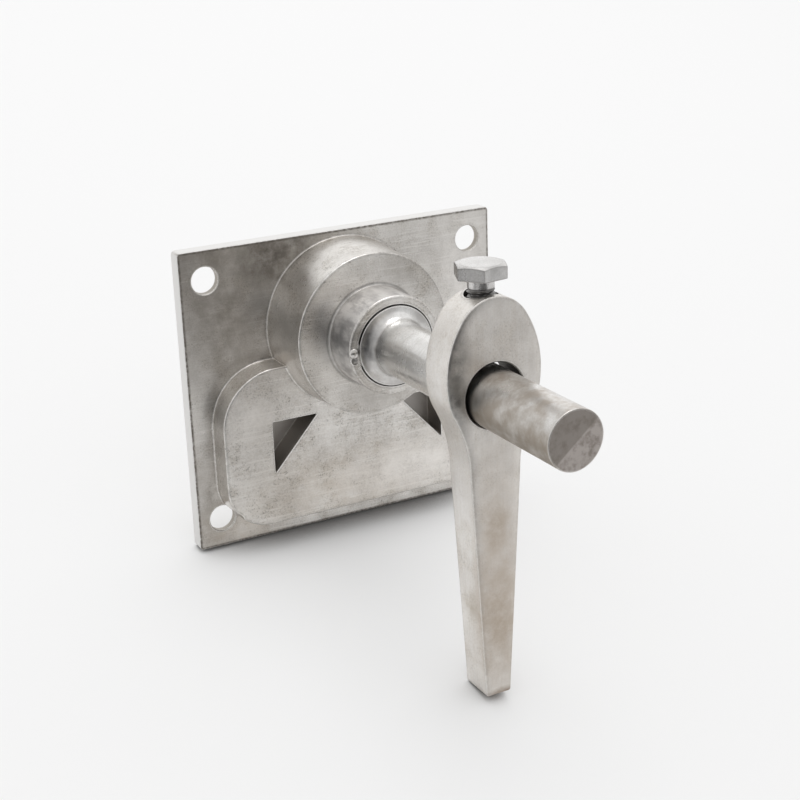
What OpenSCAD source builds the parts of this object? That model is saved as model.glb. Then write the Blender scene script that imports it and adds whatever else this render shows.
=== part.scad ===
// Boat hatch latch: a cast plate with a boss and pad behind it, a turning
// spindle with a folding pull ring in front, and a lever clamped on the tail.
// Row frame: X right, Y towards the deck side, Z up. The origin is the centre
// of the screw holes, on the plate's rear face, which lies on the hatch.
// Modules draw in a turned frame: X right, Y up, Z away from the deck.

/* [Plate] */
// Width of the mounting plate
plate_w = 81.4; // [70:0.1:100]
// Height of the mounting plate
plate_h = 72.8; // [66:0.1:90]
// Thickness of the mounting plate
plate_t = 4.1; // [3.4:0.1:6]
// Corner radius of the plate
plate_r = 1; // [0.5:0.1:4]
// Screw hole diameter, clearance for M6
hole_d = 6.4; // [5:0.1:7]
// Screw hole centres from the plate's sides
hole_side = 6.2; // [6:0.1:10]
// Screw hole centres from the plate's upper and lower edges
hole_end = 7.1; // [6:0.1:10]
// Countersink diameter at the deck face
sink_d = 10.8; // [8:0.1:12]

/* [Boss and pad] */
// Plate left above the boss
boss_edge = 1.75; // [1:0.05:5]
// Boss diameter at the plate
boss_d = 40; // [38:0.1:44]
// Radius the boss loses to draft
boss_draft = 0.8; // [0.1:0.1:2]
// Boss height behind the plate
boss_h = 15.8; // [14.5:0.1:20]
// Collar diameter round the journal
collar_d = 23.1; // [22:0.1:26]
// Collar height beyond the boss
collar_h = 10.4; // [9:0.1:14]
// Cove radius where the collar leaves the boss
collar_cove = 2.6; // [1:0.1:4]
// Plate left beside the pad
pad_side = 5.4; // [3:0.1:8]
// Lower edge of the pad above the plate's lower edge
pad_low = 5; // [3:0.1:9]
// Upper edge of the pad below the spindle axis
pad_under = 6.65; // [2:0.05:10]
// Pad thickness behind the plate
pad_t = 6; // [4.5:0.1:8]
// Upper corner radius of the pad
pad_top_r = 14; // [6:0.5:18]
// Lower corner radius of the pad
pad_low_r = 11; // [6:0.5:16]
// Radius of the coves at the boss's foot
cast_cove = 0.5; // [0.3:0.1:1]
// Radius on the boss's outer edge
cast_edge = 0.4; // [0.3:0.1:1.5]

/* [Pockets] */
// Outer edge of a triangular pocket from the middle
pocket_out = 22.6; // [21:0.1:28]
// Pocket width along its upper edge
pocket_w = 11.6; // [8:0.1:13]
// Pocket height along its outer edge
pocket_h = 12.8; // [8:0.1:16]
// Upper edge of a pocket below the pad's upper edge
pocket_down = 13.6; // [10:0.1:17]
// Metal left under a pocket
pocket_floor = 1.9; // [1.2:0.1:3]

/* [Deck side recess] */
// Width of the shallow recess
recess_w = 56; // [44:1:60]
// Height of the shallow recess
recess_h = 22; // [16:1:24]
// Depth of the shallow recess
recess_deep = 2; // [1:0.1:2.2]
// Corner radius of the recess
recess_r = 7; // [3:0.5:8]
// Width of the finger scoop
scoop_w = 16; // [12:0.5:17]
// Depth of the finger scoop and of the rotor's dish
scoop_deep = 6.5; // [6:0.1:7]

/* [Spindle] */
// Diameter of the rotor, the spindle's flush head
rotor_d = 33; // [31:0.1:34]
// How far the rotor's face lies under the deck face
rotor_sink = 0.3; // [0.1:0.1:1]
// Rotor thickness
rotor_t = 12.3; // [11:0.1:13]
// Diameter of the dish in the rotor
dish_d = 28.4; // [27.6:0.1:29]
// Journal diameter
journal_d = 18.8; // [18:0.1:19.5]
// How far the journal's face stands out of the collar
journal_out = 0.4; // [0.1:0.1:1.5]
// Tail diameter
tail_d = 12.7; // [12:0.1:13]
// Tail end from the plate's rear face
tail_end = 97.3; // [85:0.1:120]
// Flat rim left on the journal's face outside the tail's cove
journal_flat = 0.45; // [0.3:0.05:1.5]
// Chamfer on the journal's face and on the collar's mouth round it
rim_chamfer = 0.1; // [0.05:0.05:0.25]
// Chamfer on the tail's end
tail_chamfer = 0.3; // [0.2:0.1:1]

/* [Pull ring] */
// Diameter of the ring's bar
bar_d = 3.8; // [3:0.1:4]
// Gap between the ring and the dish at each side
ring_gap = 1.9; // [1:0.1:3]
// Ring pin's axis from the dish's wall
pin_in = 4.8; // [4:0.1:6]
// Diameter of the ring pin
pin_d = 2; // [1.5:0.1:2.4]
// Diameter of the ring's hinge barrel
barrel_d = 4.6; // [4:0.1:4.8]
// Gap between the barrel's ends and the dish
barrel_gap = 0.5; // [0.3:0.1:3]

/* [Lever] */
// Lever's outer face from the plate's rear face
lever_at = 68.9; // [60:0.1:84]
// Thickness of the lever's head
head_t = 9.25; // [8:0.05:12]
// Diameter of the head's lower round
head_d = 21.7; // [19.5:0.1:25]
// Centre of the lower round above the axis
head_up = 2.5; // [0:0.1:4]
// Diameter of the head's crown
crown_d = 17.6; // [15:0.1:20]
// Centre of the crown above the axis
crown_up = 12.45; // [10:0.05:15]
// Radius of the head's bulging sides
side_r = 22.5; // [18:0.5:40]
// Radial slack of the lever's bore on the tail
bore_slack = 0.65; // [0.3:0.05:1.2]
// Lever's reach below the axis
lever_reach = 68; // [50:0.5:90]
// Arm width where the neck ends
arm_w = 11.8; // [9:0.1:14]
// Arm width at the tip
tip_w = 6; // [4:0.1:9]
// How much thinner the arm is at the tip than at the head
tip_thin = 0.5; // [0.1:0.1:3]
// Radius of the neck between head and arm
neck_r = 30; // [15:1:45]

/* [Set bolt] */
// Bolt diameter
bolt_d = 6; // [5:0.1:7]
// Width of the hex across its flats
hex_w = 10; // [8:0.1:11]
// Height of the hex
hex_h = 3.35; // [3:0.05:5]
// Gap between the hex and the lever's crown
hex_gap = 3.05; // [2:0.05:5]
// Turn of the hex about its axis
hex_turn = 7; // [0:1:60]
// Bolt's axis behind the middle of the lever's head
bolt_shift = 0.65; // [0:0.05:0.8]

/* [Fits] */
// Radial running clearance of the turning fits
run = 0.06; // [0.03:0.01:0.1]
// Clearance between faces that slide past each other
face_gap = 0.05; // [0.02:0.01:0.1]
// Thickness of the thrust washer
washer_t = 1.1; // [0.8:0.1:1.6]
// Thickness of the seal rings
seal_t = 1.6; // [1.2:0.1:1.8]
// Wire thickness of the snap ring
snap_t = 1.2; // [0.8:0.1:1.3]
// Snap ring behind the boss's face
snap_in = 5.2; // [3.5:0.1:7]
// Angle the snap ring runs through
snap_sweep = 330; // [300:1:345]
// Depth of the stake pin in the collar's rim
stake_deep = 4; // [2:0.1:5]
// Metal left on both sides of the stake pin in the collar's rim
stake_wall = 0.2; // [0.1:0.05:0.5]

/* [Hidden] */
$fn = 96;
eps = 0.01;

hole_gap_x = plate_w - 2 * hole_side;
hole_gap_z = plate_h - 2 * hole_end;
boss_r = boss_d / 2;
spindle_up = plate_h / 2 - boss_edge - boss_r;
collar_r = collar_d / 2;
collar_end = boss_h + collar_h;
journal_r = journal_d / 2;
journal_end = collar_end + journal_out;
journal_bore = journal_r + run;
tail_r = tail_d / 2;
tail_cove = journal_r - tail_r - journal_flat;
rotor_r = rotor_d / 2;
rotor_bore = rotor_r + run;
rotor_front = rotor_sink - plate_t;
rotor_back = rotor_front + rotor_t;
rotor_floor = rotor_back + washer_t + 2 * face_gap;
scoop_floor = scoop_deep - plate_t;
seal_groove = seal_t * 1.35;
rotor_seal_at = scoop_floor + (rotor_back - scoop_floor) * 0.56;
journal_seal_at = rotor_floor + 4.4;
snap_at = boss_h + snap_in;
snap_groove = snap_t + 0.3;
stake_x = -(collar_r + journal_bore) / 2;
stake_d = collar_r - journal_bore - 2 * stake_wall;
pad_w = plate_w - 2 * pad_side;
pad_bottom = pad_low - plate_h / 2;
pad_top = spindle_up - pad_under;
pocket_top = pad_top - pocket_down;
pocket_deep = pad_t + plate_t - recess_deep - pocket_floor;
recess_top = spindle_up - rotor_bore - 3;
ring_at = rotor_front + 0.5 + bar_d / 2;
ring_d = dish_d - bar_d - 2 * ring_gap;
pin_up = dish_d / 2 - pin_in;
barrel_up = pin_up + barrel_d / 2;
barrel_w = 2 * (sqrt(dish_d * dish_d / 4 - barrel_up * barrel_up) - barrel_gap);
ring_low = pin_up - ring_d / 2;
bore_d = tail_d + 2 * bore_slack;
bore_up = bore_slack - face_gap;
head_r = head_d / 2;
crown_r = crown_d / 2;
lever_back = lever_at - head_t;
crown_rise = crown_up - head_up;
side_low = side_r - head_r;
side_high = side_r - crown_r;
side_rise = (crown_rise * crown_rise - side_high * side_high + side_low * side_low) / (2 * crown_rise);
side_up = head_up + side_rise;
side_in = sqrt(side_low * side_low - side_rise * side_rise);
side_from = side_up - side_r * side_rise / side_low;
side_to = side_up + side_r * (crown_rise - side_rise) / side_high;
neck_x = arm_w / 2 + neck_r;
neck_up = head_up - sqrt((head_r + neck_r) * (head_r + neck_r) - neck_x * neck_x);
neck_touch = head_r / (head_r + neck_r);
bolt_at = lever_at - head_t / 2 - bolt_shift;
bolt_tip = tail_r + face_gap;
crown_top = crown_up + crown_r;
hex_low = crown_top + hex_gap;
bolt_bore = bolt_d / 2 + run;

// Turns a module's frame into the row frame, about the origin
module upright() {
    rotate([90, 0, 0])
        children();
}

// As upright, with the modules' axis on the spindle's axis
module on_axis() {
    translate([0, 0, spindle_up])
        upright()
            children();
}

// Ring of round section about the spindle axis
module round_ring(mid_r, bar, at, sweep = 360) {
    translate([0, 0, at])
        rotate([0, 0, 105])
            rotate_extrude(angle = sweep)
                translate([mid_r, 0])
                    circle(d = bar);
}

// Tube with square edges, from one height to another
module tube(outer_r, inner_r, low, high) {
    translate([0, 0, low])
        difference() {
            cylinder(r = outer_r, h = high - low);
            translate([0, 0, -1])
                cylinder(r = inner_r, h = high - low + 2);
        }
}

// Rectangle with round corners, by its lower and upper corner radius
module rounded(w, low, high, low_r, high_r) {
    translate([-w / 2, low + low_r])
        square([w, high - low - low_r - high_r]);
    translate([-w / 2 + low_r, low])
        square([w - 2 * low_r, low_r + eps]);
    translate([-w / 2 + high_r, high - high_r - eps])
        square([w - 2 * high_r, high_r + eps]);
    for (side = [-1, 1]) {
        translate([side * (w / 2 - low_r), low + low_r])
            circle(r = low_r);
        translate([side * (w / 2 - high_r), high - high_r])
            circle(r = high_r);
    }
}

// Radius of the tapered boss at a height behind the plate
function boss_at(height) = boss_r - boss_draft * height / (boss_h - cast_edge);

// Hollow corner in a half section, from a wall out to a base
module cove(wall, base, radius) {
    difference() {
        translate([wall - 1, base - 0.5])
            square([radius + 1, radius + 0.5]);
        translate([wall + radius, base + radius])
            circle(r = radius);
    }
}

// Boss and collar as one turned shape, with the cove between them
module turned_boss() {
    cove_r = collar_r + collar_cove;
    edge_r = boss_r - boss_draft - cast_edge;
    rotate_extrude()
        difference() {
            union() {
                polygon([
                    [0, -eps], [boss_r, -eps], [boss_r, 0], [edge_r + cast_edge, boss_h - cast_edge],
                    [edge_r, boss_h], [0, boss_h]
                ]);
                translate([edge_r, boss_h - cast_edge])
                    circle(r = cast_edge);
                cove(boss_at(cast_cove), 0, cast_cove);
                translate([0, boss_h - eps])
                    square([cove_r, collar_cove + eps]);
                translate([0, boss_h])
                    square([collar_r, collar_h - 0.6]);
                polygon([
                    [0, collar_end - 0.6], [collar_r, collar_end - 0.6], [collar_r - 0.6, collar_end],
                    [0, collar_end]
                ]);
            }
            translate([cove_r, boss_h + collar_cove])
                circle(r = collar_cove);
        }
}

// One triangular pocket, on the side given by its sign
module pocket(side) {
    translate([0, 0, pad_t - pocket_deep])
        linear_extrude(pocket_deep + 1)
            polygon([
                [side * pocket_out, pocket_top],
                [side * (pocket_out - pocket_w), pocket_top],
                [side * pocket_out, pocket_top - pocket_h]
            ]);
}

// Screw hole with its countersink, also where it meets the pad's corner
module screw_hole() {
    sink = (sink_d - hole_d) / 2;
    translate([0, 0, -plate_t - 1])
        cylinder(d = hole_d, h = plate_t + pad_t + 2);
    translate([0, 0, -plate_t - eps])
        cylinder(d1 = sink_d, d2 = hole_d, h = sink);
}

// Everything the spindle and its rings need cut out of the casting
module spindle_way() {
    translate([0, 0, -plate_t - 1])
        cylinder(r = rotor_bore, h = plate_t + 1 + rotor_floor);
    translate([0, 0, rotor_floor - eps])
        cylinder(r = journal_bore, h = collar_end);
    translate([0, 0, snap_at - snap_groove / 2])
        cylinder(r = journal_bore + snap_t / 2 + 0.1, h = snap_groove);
    translate([0, 0, collar_end - rim_chamfer])
        cylinder(r1 = journal_bore, r2 = journal_bore + rim_chamfer + eps, h = rim_chamfer + eps);
    translate([stake_x, 0, collar_end - stake_deep])
        cylinder(d = stake_d, h = stake_deep + 1);
}

// Plate, pad, boss and collar, cast in one piece
module body_casting() {
    color([0.62, 0.6, 0.57])
        upright()
            difference() {
                union() {
                    translate([0, 0, -plate_t])
                        linear_extrude(plate_t)
                            rounded(plate_w, -plate_h / 2, plate_h / 2, plate_r, plate_r);
                    linear_extrude(pad_t)
                        rounded(pad_w, pad_bottom, pad_top, pad_low_r, pad_top_r);
                    translate([0, spindle_up, 0])
                        turned_boss();
                    intersection() {
                        translate([0, spindle_up, 0])
                            rotate_extrude()
                                cove(boss_at(pad_t + cast_cove), pad_t, cast_cove);
                        linear_extrude(pad_t + cast_cove)
                            rounded(pad_w, pad_bottom, pad_top, pad_low_r, pad_top_r);
                    }
                }
                translate([0, spindle_up, 0])
                    spindle_way();
                for (side = [-1, 1]) {
                    pocket(side);
                    for (level = [-1, 1])
                        translate([side * hole_gap_x / 2, level * hole_gap_z / 2, 0])
                            screw_hole();
                }
                translate([0, 0, -plate_t - 1])
                    linear_extrude(recess_deep + 1)
                        rounded(recess_w, recess_top - recess_h, recess_top, recess_r, recess_r);
                translate([0, 0, -plate_t - 1])
                    linear_extrude(scoop_deep + 1)
                        rounded(scoop_w, recess_top - recess_h + 3, spindle_up, scoop_w / 2 - eps, 1);
            }
}

// Small dowel staked into the collar's rim, its end left as a bead
module stake_pin() {
    color([0.78, 0.77, 0.75])
        on_axis()
            translate([stake_x, 0, collar_end - stake_deep]) {
                cylinder(d = stake_d, h = stake_deep);
                translate([0, 0, stake_deep])
                    intersection() {
                        sphere(d = stake_d);
                        cylinder(d = stake_d + 1, h = stake_d * 0.4);
                    }
            }
}

// Wire ring, half in the collar and half in the journal's groove
module snap_ring() {
    color([0.5, 0.5, 0.52])
        on_axis()
            round_ring(journal_bore, snap_t, snap_at, snap_sweep);
}

// Plastic washer that takes the spindle's pull
module thrust_washer() {
    color([0.92, 0.91, 0.86])
        on_axis()
            tube(rotor_bore - 0.3, journal_r + 0.35, rotor_back + face_gap, rotor_floor - face_gap);
}

// Half section of the spindle, radius against height
module spindle_profile() {
    rotor_groove = rotor_r - seal_t;
    journal_groove = journal_r - seal_t;
    difference() {
        union() {
            polygon([
                [0, rotor_front], [rotor_r - 0.4, rotor_front], [rotor_r, rotor_front + 0.4],
                [rotor_r, rotor_back], [0, rotor_back]
            ]);
            translate([0, rotor_back - eps])
                square([journal_r, journal_end - rim_chamfer - rotor_back + eps]);
            polygon([
                [0, journal_end - rim_chamfer], [journal_r, journal_end - rim_chamfer],
                [journal_r - rim_chamfer, journal_end], [0, journal_end]
            ]);
            translate([0, journal_end - eps])
                square([tail_r + tail_cove, tail_cove + eps]);
            polygon([
                [0, journal_end], [tail_r, journal_end], [tail_r, tail_end - tail_chamfer],
                [tail_r - tail_chamfer, tail_end], [0, tail_end]
            ]);
        }
        translate([tail_r + tail_cove, journal_end + tail_cove])
            circle(r = tail_cove);
        translate([rotor_groove, rotor_seal_at - seal_groove / 2])
            square([seal_t + 1, seal_groove]);
        translate([journal_groove, journal_seal_at - seal_groove / 2])
            square([seal_t + 1, seal_groove]);
        translate([journal_r - snap_t / 2 - 0.15, snap_at - snap_groove / 2])
            square([snap_t + 1, snap_groove]);
    }
}

// Rotor, journal and tail, turned from one casting
module spindle() {
    color([0.7, 0.68, 0.66])
        on_axis()
            difference() {
                rotate_extrude()
                    spindle_profile();
                translate([0, 0, rotor_front - 1])
                    cylinder(d = dish_d, h = scoop_floor - rotor_front + 1);
                translate([-scoop_w / 2, -rotor_d, rotor_front - 1])
                    cube([scoop_w, rotor_d, scoop_floor - rotor_front + 1]);
                translate([-rotor_r, pin_up, ring_at])
                    rotate([0, 90, 0])
                        cylinder(d = pin_d, h = rotor_d);
            }
}

// Seal ring in the rotor's groove
module rotor_seal() {
    color([0.07, 0.07, 0.07])
        on_axis()
            round_ring(rotor_r - seal_t / 2 + 0.02, seal_t, rotor_seal_at);
}

// Seal ring in the journal's groove
module journal_seal() {
    color([0.07, 0.07, 0.07])
        on_axis()
            round_ring(journal_r - seal_t / 2 + 0.02, seal_t, journal_seal_at);
}

// Pin across the dish that the pull ring swings on
module ring_pin() {
    half = sqrt(rotor_r * rotor_r - pin_up * pin_up) - 0.6;
    color([0.74, 0.73, 0.71])
        on_axis()
            translate([-half, pin_up, ring_at])
                rotate([0, 90, 0])
                    cylinder(d = pin_d, h = 2 * half);
}

// Folding ring with the barrel that turns on the pin
module pull_ring() {
    color([0.76, 0.75, 0.72])
        on_axis()
            difference() {
                union() {
                    translate([0, ring_low, ring_at])
                        rotate_extrude()
                            translate([ring_d / 2, 0])
                                circle(d = bar_d);
                    translate([-barrel_w / 2, pin_up, ring_at])
                        rotate([0, 90, 0])
                            cylinder(d = barrel_d, h = barrel_w);
                }
                translate([-ring_d, pin_up, ring_at])
                    rotate([0, 90, 0])
                        cylinder(d = pin_d + 2 * run, h = 2 * ring_d);
            }
}

// Egg-shaped head of the lever: lower round, crown and the bulging sides between
module head_outline() {
    translate([0, head_up])
        circle(r = head_r);
    translate([0, crown_up])
        circle(r = crown_r);
    intersection() {
        translate([-side_r, side_from])
            square([2 * side_r, side_to - side_from]);
        translate([-side_in, side_up])
            circle(r = side_r);
        translate([side_in, side_up])
            circle(r = side_r);
    }
}

// Tapered arm of the lever with the hollow necks that lead into the head
module arm_outline() {
    touch_x = neck_x * neck_touch;
    touch_up = head_up + (neck_up - head_up) * neck_touch;
    difference() {
        polygon([
            [-touch_x, touch_up], [-arm_w / 2, neck_up], [-tip_w / 2, -lever_reach],
            [tip_w / 2, -lever_reach], [arm_w / 2, neck_up], [touch_x, touch_up]
        ]);
        for (side = [-1, 1])
            translate([side * neck_x, neck_up])
                circle(r = neck_r);
    }
}

// Wedge that thins the arm from behind, from under the head to the tip
module arm_wedge() {
    from = head_r - head_up;
    far = lever_reach + 2;
    rise = tip_thin * (far - from) / (lever_reach - from);
    rotate([90, 0, -90])
        translate([0, 0, -head_d])
            linear_extrude(2 * head_d)
                polygon([
                    [from, lever_back], [far, lever_back + rise], [far, lever_back - 1],
                    [from, lever_back - 1]
                ]);
}

// Lever that catches under the hatch frame, bored larger than the tail
module lever() {
    color([0.8, 0.79, 0.76])
        on_axis()
            difference() {
                translate([0, 0, lever_back])
                    linear_extrude(head_t) {
                        head_outline();
                        arm_outline();
                    }
                arm_wedge();
                translate([0, bore_up, lever_back - 1])
                    cylinder(d = bore_d, h = head_t + 2);
                translate([0, 0, bolt_at])
                    rotate([-90, 0, 0]) {
                        cylinder(r = bolt_bore, h = crown_top + 1);
                        translate([0, 0, crown_top - 0.7])
                            cylinder(r1 = bolt_bore, r2 = bolt_bore + 1, h = 1);
                    }
            }
}

// Hex bolt whose end presses the tail into the bottom of the lever's bore
module set_bolt() {
    corner = hex_w / sqrt(3);
    color([0.86, 0.86, 0.85])
        on_axis()
            translate([0, 0, bolt_at])
                rotate([-90, 0, 0]) {
                    translate([0, 0, bolt_tip])
                        cylinder(d1 = bolt_d - 1, d2 = bolt_d, h = 0.5);
                    translate([0, 0, bolt_tip + 0.5])
                        cylinder(d = bolt_d, h = hex_low - bolt_tip - 0.5 + eps);
                    intersection() {
                        translate([0, 0, hex_low])
                            rotate([0, 0, hex_turn])
                                linear_extrude(hex_h)
                                    circle(r = corner, $fn = 6);
                        translate([0, 0, hex_low])
                            cylinder(r1 = corner + 2 * hex_h, r2 = hex_w / 2 * 0.96, h = hex_h);
                    }
                }
}

body_casting();
stake_pin();
snap_ring();
thrust_washer();
spindle();
rotor_seal();
journal_seal();
ring_pin();
pull_ring();
lever();
set_bolt();
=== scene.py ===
from math import atan2, cos, degrees, pi, radians, sin, sqrt

import bmesh
import bpy
from mathutils import Matrix, Vector


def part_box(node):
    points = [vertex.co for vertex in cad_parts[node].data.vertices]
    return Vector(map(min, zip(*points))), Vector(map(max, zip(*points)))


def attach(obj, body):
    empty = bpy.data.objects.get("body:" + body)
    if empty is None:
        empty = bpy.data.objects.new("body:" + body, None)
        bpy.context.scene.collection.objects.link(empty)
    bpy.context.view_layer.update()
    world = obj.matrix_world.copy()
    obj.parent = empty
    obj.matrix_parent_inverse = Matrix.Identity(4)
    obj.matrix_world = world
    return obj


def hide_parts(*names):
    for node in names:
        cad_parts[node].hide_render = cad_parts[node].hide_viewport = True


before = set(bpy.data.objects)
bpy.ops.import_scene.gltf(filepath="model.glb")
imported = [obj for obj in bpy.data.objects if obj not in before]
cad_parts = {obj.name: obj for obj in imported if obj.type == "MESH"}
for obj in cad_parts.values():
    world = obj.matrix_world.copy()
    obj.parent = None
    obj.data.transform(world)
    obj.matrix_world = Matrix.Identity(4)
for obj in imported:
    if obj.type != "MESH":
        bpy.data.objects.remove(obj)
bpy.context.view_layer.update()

# The casting: plate, pad, boss and collar in one piece of cast stainless steel.
# It is blasted and left dull; the collar's rim and bore are turned, the holes drilled.
# Behind the plate the edges are soft from the mould, with coves where forms meet.
MM = 0.001
plate_low, plate_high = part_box("body_casting")
plate_w = (plate_high.x - plate_low.x) / MM
plate_h = (plate_high.z - plate_low.z) / MM
plate_t = plate_high.y / MM
spindle_z = sum(v.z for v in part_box("thrust_washer")) / 2 / MM
plate_corner = 1.0
plate_edge = 0.35
pad_half = 35.2
pad_bottom = -31.4
pad_top = 7.9
pad_t = 6.0
pad_corners = (11.0, 14.0)
cast_cove = 0.45
cast_edge = 0.4
pad_draft = 0.3
boss_r = 20.0
boss_draft = 0.8
boss_h = 15.8
collar_r = 11.55
collar_cove = 0.7
collar_end = -plate_low.y / MM
collar_edge = 0.6


def fresh(name, verts, faces):
    """A mesh object at the origin, from points in millimetres."""
    mesh = bpy.data.meshes.new(name)
    mesh.from_pydata([tuple(c * MM for c in v) for v in verts], [], faces)
    bm = bmesh.new()
    bm.from_mesh(mesh)
    bmesh.ops.remove_doubles(bm, verts=bm.verts, dist=1e-7)
    bmesh.ops.recalc_face_normals(bm, faces=bm.faces)
    if bm.calc_volume(signed=True) < 0:
        bmesh.ops.reverse_faces(bm, faces=bm.faces)
    bm.to_mesh(mesh)
    bm.free()
    obj = bpy.data.objects.new(name, mesh)
    bpy.context.collection.objects.link(obj)
    return obj


def loft(name, rings):
    """A closed skin over rings of equally many points, with both ends capped."""
    count = len(rings[0])
    verts = [p for ring in rings for p in ring]
    faces = [list(range(count))]
    faces.append([len(verts) - count + i for i in range(count)])
    for level in range(len(rings) - 1):
        base = level * count
        for i in range(count):
            after = (i + 1) % count
            faces.append([base + i, base + after, base + count + after, base + count + i])
    return fresh(name, verts, faces)


def turned(name, profile, centre=(0.0, 0.0), segments=144):
    """A shape turned about a line along Y; profile holds (radius, y) and starts and ends at radius 0."""
    verts = [(centre[0], profile[0][1], centre[1])]
    for radius, y in profile[1:-1]:
        for i in range(segments):
            turn = 2 * pi * i / segments
            verts.append((centre[0] + radius * cos(turn), y, centre[1] + radius * sin(turn)))
    verts.append((centre[0], profile[-1][1], centre[1]))
    last = len(verts) - 1
    faces = []
    for i in range(segments):
        after = (i + 1) % segments
        faces.append([0, 1 + i, 1 + after])
        faces.append([last, last - segments + after, last - segments + i])
        for level in range(len(profile) - 3):
            base = 1 + level * segments
            faces.append([base + i, base + segments + i, base + segments + after, base + after])
    return fresh(name, verts, faces)


def arc(centre, radius, start, end, steps=8):
    """Points on an arc in a plane, angles in degrees."""
    turns = [radians(start + (end - start) * i / steps) for i in range(steps + 1)]
    return [(centre[0] + radius * cos(t), centre[1] + radius * sin(t)) for t in turns]


def rounded_outline(half, low, high, low_r, high_r, inset=0.0, steps=10):
    """Rectangle with round corners, moved inwards by inset, as (x, z) points."""
    half, low, high = half - inset, low + inset, high - inset
    low_r, high_r = max(low_r - inset, 0.02), max(high_r - inset, 0.02)
    points = arc((half - low_r, low + low_r), low_r, -90, 0, steps)
    points += arc((half - high_r, high - high_r), high_r, 0, 90, steps)
    points += arc((-half + high_r, high - high_r), high_r, 90, 180, steps)
    points += arc((-half + low_r, low + low_r), low_r, 180, 270, steps)
    return points


def stack(name, outline, levels):
    """A loft of one outline at several (inset, y) levels."""
    return loft(name, [[(x, y, z) for x, z in outline(inset)] for inset, y in levels])


def combine(obj, other, how):
    """Joins other to obj, cuts it out, or keeps what both share, and removes other."""
    step = obj.modifiers.new("combine", "BOOLEAN")
    step.operation = how
    step.solver = "MANIFOLD"
    step.object = other
    seen = obj.evaluated_get(bpy.context.evaluated_depsgraph_get())
    mesh = bpy.data.meshes.new_from_object(seen)
    obj.modifiers.clear()
    obj.data = mesh
    bpy.data.objects.remove(other)
    return obj


def finish_piece(obj, material, body, slot, *nodes, crease=32):
    """Shades a piece, gives it its material and tells the frame what it stands for."""
    mesh = obj.data
    mesh.materials.clear()
    mesh.materials.append(material)
    for polygon in mesh.polygons:
        polygon.use_smooth = True
        polygon.material_index = 0
    mesh.set_sharp_from_angle(angle=radians(crease))
    even = obj.modifiers.new("flat faces stay flat", "WEIGHTED_NORMAL")
    even.keep_sharp = True
    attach(obj, body)
    if nodes:
        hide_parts(*nodes)


def cove_steps(out, at, radius, steps=6):
    """Hollow corner from a flat face at y = at to a wall: (outward distance, y) pairs."""
    turns = [pi / 2 * i / steps for i in range(steps + 1)]
    return [(out + radius - radius * sin(t), at - radius + radius * cos(t)) for t in turns]


def edge_steps(out, at, radius, steps=4):
    """Rounded edge from a wall to a flat face at y = at: (outward distance, y) pairs."""
    turns = [pi / 2 * i / steps for i in range(steps + 1)]
    return [(out - radius + radius * cos(t), at + radius - radius * sin(t)) for t in turns]


def plate_outline(inset):
    return rounded_outline(plate_w / 2, -plate_h / 2, plate_h / 2, plate_corner, plate_corner, inset, 4)


def pad_outline(inset):
    return rounded_outline(pad_half, pad_bottom, pad_top, *pad_corners, inset, 12)


soft = plate_edge * 0.3
casting = stack("casting", plate_outline, [
    (plate_edge, plate_t), (soft, plate_t - soft), (0, plate_t - plate_edge),
    (0, plate_edge), (soft, soft), (plate_edge, 0)])
pad_walls = [(cast_cove, 1.0)] + cove_steps(0, 0, cast_cove) + edge_steps(-pad_draft, -pad_t, cast_edge)
pad = stack("pad", pad_outline, [(-out, y) for out, y in pad_walls])
combine(casting, pad, "UNION")

boss_walls = [(0, 1.0), (boss_r + cast_cove, 1.0)] + cove_steps(boss_r, 0, cast_cove)
boss_walls += edge_steps(boss_r - boss_draft, -boss_h, cast_edge)
boss_walls += cove_steps(collar_r, -boss_h, collar_cove, 8)
boss_walls += edge_steps(collar_r, -collar_end, collar_edge) + [(0, -collar_end)]
boss = turned("boss", boss_walls, (0, spindle_z))
combine(casting, boss, "UNION")

# Cove where the boss stands on the pad, only as far as the pad reaches.
boss_at_pad = boss_r - boss_draft * pad_t / boss_h
cove_walls = [(0, -pad_t + 0.5), (boss_at_pad + cast_cove, -pad_t + 0.5)]
cove_walls += cove_steps(boss_at_pad, -pad_t, cast_cove)
cove_walls += [(boss_at_pad - 1, -pad_t - cast_cove), (0, -pad_t - cast_cove)]
pad_cove = turned("pad_cove", cove_walls, (0, spindle_z))
over_pad = stack("over_pad", pad_outline, [(cast_edge + pad_draft, 0), (cast_edge + pad_draft, -9)])
combine(pad_cove, over_pad, "INTERSECT")
combine(casting, pad_cove, "UNION")

# Way for the spindle: rotor bore from the deck side, journal bore through the collar.
rotor_bore = 16.56
rotor_floor = -9.7
journal_bore = 9.46
rim_gap = 0.16
rim_deep = 2.0
bore_mouth = 0.5
overrun = 2.0
way = turned("way", [
    (0, plate_t + overrun), (rotor_bore + bore_mouth, plate_t + overrun), (rotor_bore + bore_mouth, plate_t),
    (rotor_bore, plate_t - bore_mouth), (rotor_bore, rotor_floor), (journal_bore, rotor_floor),
    (journal_bore, -collar_end + rim_deep), (journal_bore + rim_gap, -collar_end + rim_deep - 0.1),
    (journal_bore + rim_gap, -collar_end - overrun), (0, -collar_end - overrun)], (0, spindle_z))
combine(casting, way, "DIFFERENCE")

# Screw holes with their countersinks; the lower ones also nick the pad's corners.
hole_r = 3.2
sink_r = 5.4
hole_x = 34.5
hole_z = 29.3
hole_edge = 0.2
for side in (-1, 1):
    for level in (-1, 1):
        hole = turned("hole", [
            (0, plate_t + overrun), (sink_r, plate_t + overrun), (sink_r, plate_t),
            (hole_r, plate_t - sink_r + hole_r), (hole_r, hole_edge), (hole_r + hole_edge, -0.01),
            (hole_r + hole_edge, -pad_t - overrun), (0, -pad_t - overrun)],
            (side * hole_x, level * hole_z), 48)
        combine(casting, hole, "DIFFERENCE")

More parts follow.
